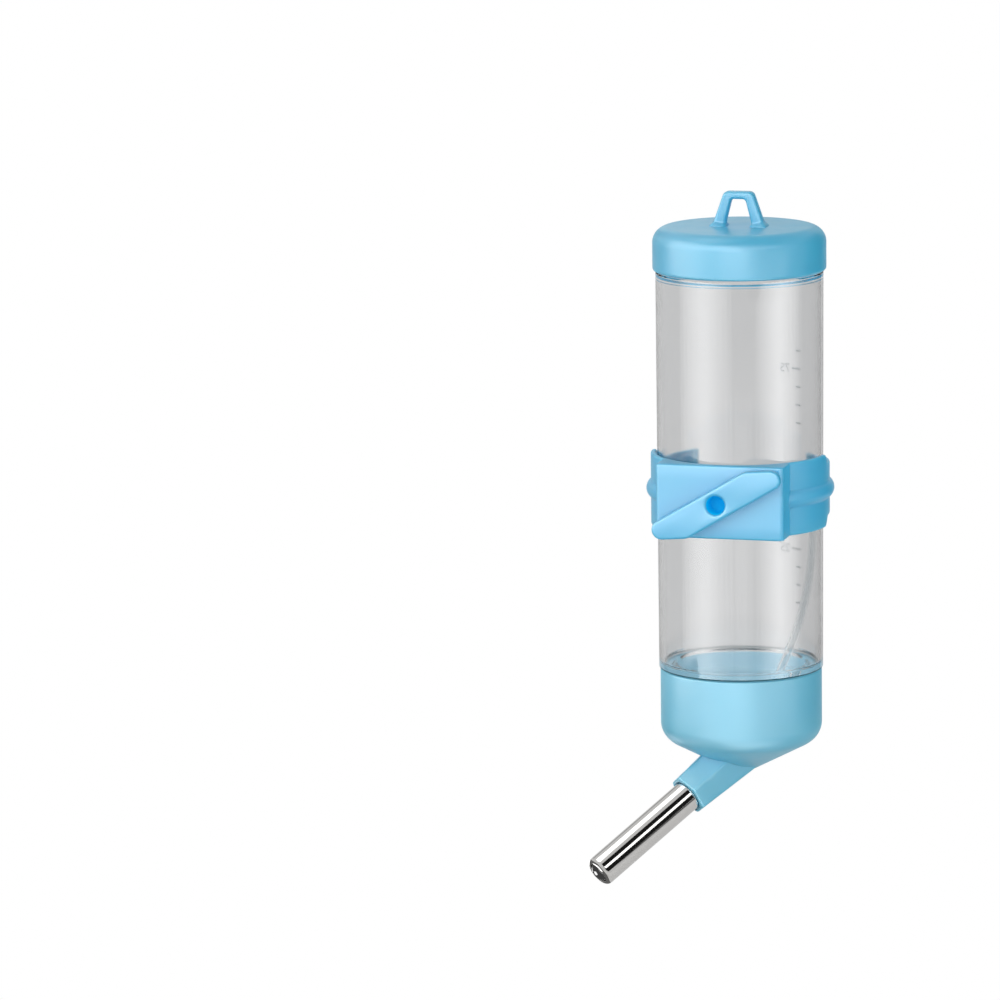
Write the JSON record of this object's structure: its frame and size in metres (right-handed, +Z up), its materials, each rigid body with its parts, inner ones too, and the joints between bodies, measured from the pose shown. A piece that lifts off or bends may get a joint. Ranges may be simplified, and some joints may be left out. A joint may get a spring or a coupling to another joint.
{
  "type": "rabbit water bottle",
  "caption": "Slim hanging pet drinking bottle: clear barrel, screw caps, hanging loop, slanted steel ball spout and a snap ring with a turn toggle for cage wire.",
  "frame": {"origin": "the hanging eye: middle of the underside of the loop's top bar, on the barrel's axis", "axes": "+Z up along the barrel; -Y the way the clip's flat block and toggle face; +X to the right seen from the front"},
  "size_m": [0.0532, 0.0544, 0.1636],
  "materials": {
    "clear_plastic": "clear, polished",
    "blue_plastic": "glossy light blue",
    "seal_white": "soft silicone",
    "seal_dark": "soft rubber",
    "steel": "polished stainless steel",
    "liner_plastic": "natural plastic",
    "vent_plastic": "clear, flexible"
  },
  "bodies": {
    "bottle": {"bottle_body": "clear_plastic"},
    "top_gasket": {"top_seal": "seal_white"},
    "top_cap": {"top_cap": "blue_plastic"},
    "base_gasket": {"base_seal": "seal_white"},
    "base": {"base_cap": "blue_plastic", "spout_tube": "steel", "tube_seal": "seal_dark", "tube_liner": "liner_plastic", "vent_tube": "vent_plastic"},
    "tip_ball": {"tip_ball": "steel"},
    "back_ball": {"back_ball": "steel"},
    "clip": {"clip_ring": "blue_plastic"},
    "toggle": {"toggle": "blue_plastic"}
  },
  "joints": [
    {"name": "top_cap_lift", "type": "slide", "parent": "bottle", "child": "top_gasket", "axis": [0, 0, 1], "range_m": [0, 0.00482]},
    {"name": "top_cap_turn", "type": "hinge", "parent": "top_gasket", "child": "top_cap", "pos_m": [0, 0, -0.012], "axis": [0, 0, 1], "range_deg": [0, 540]},
    {"name": "base_cap_drop", "type": "slide", "parent": "bottle", "child": "base_gasket", "axis": [0, 0, -1], "range_m": [0, 0.00482]},
    {"name": "base_cap_turn", "type": "hinge", "parent": "base_gasket", "child": "base", "pos_m": [0, 0, -0.12], "axis": [0, 0, -1], "range_deg": [0, 540]},
    {"name": "tip_ball_push", "type": "slide", "parent": "base", "child": "tip_ball", "axis": [0.5748, 0.6383, 0.512], "range_m": [0, 0.0015]},
    {"name": "back_ball_push", "type": "slide", "parent": "base", "child": "back_ball", "axis": [0.5748, 0.6383, 0.512], "range_m": [0, 0.0015]},
    {"name": "clip_turn", "type": "hinge", "parent": "bottle", "child": "clip", "pos_m": [0, 0, -0.0696], "axis": [0, 0, 1], "continuous": true},
    {"name": "toggle_turn", "type": "hinge", "parent": "clip", "child": "toggle", "pos_m": [0, -0.0245, -0.0696], "axis": [0, -1, 0], "continuous": true}
  ],
  "couplings": [
    {"joint": "top_cap_lift", "follows": "top_cap_turn", "m_per_rad": 0.0005093},
    {"joint": "base_cap_drop", "follows": "base_cap_turn", "m_per_rad": 0.0005093},
    {"joint": "back_ball_push", "follows": "tip_ball_push", "ratio": 1}
  ]
}
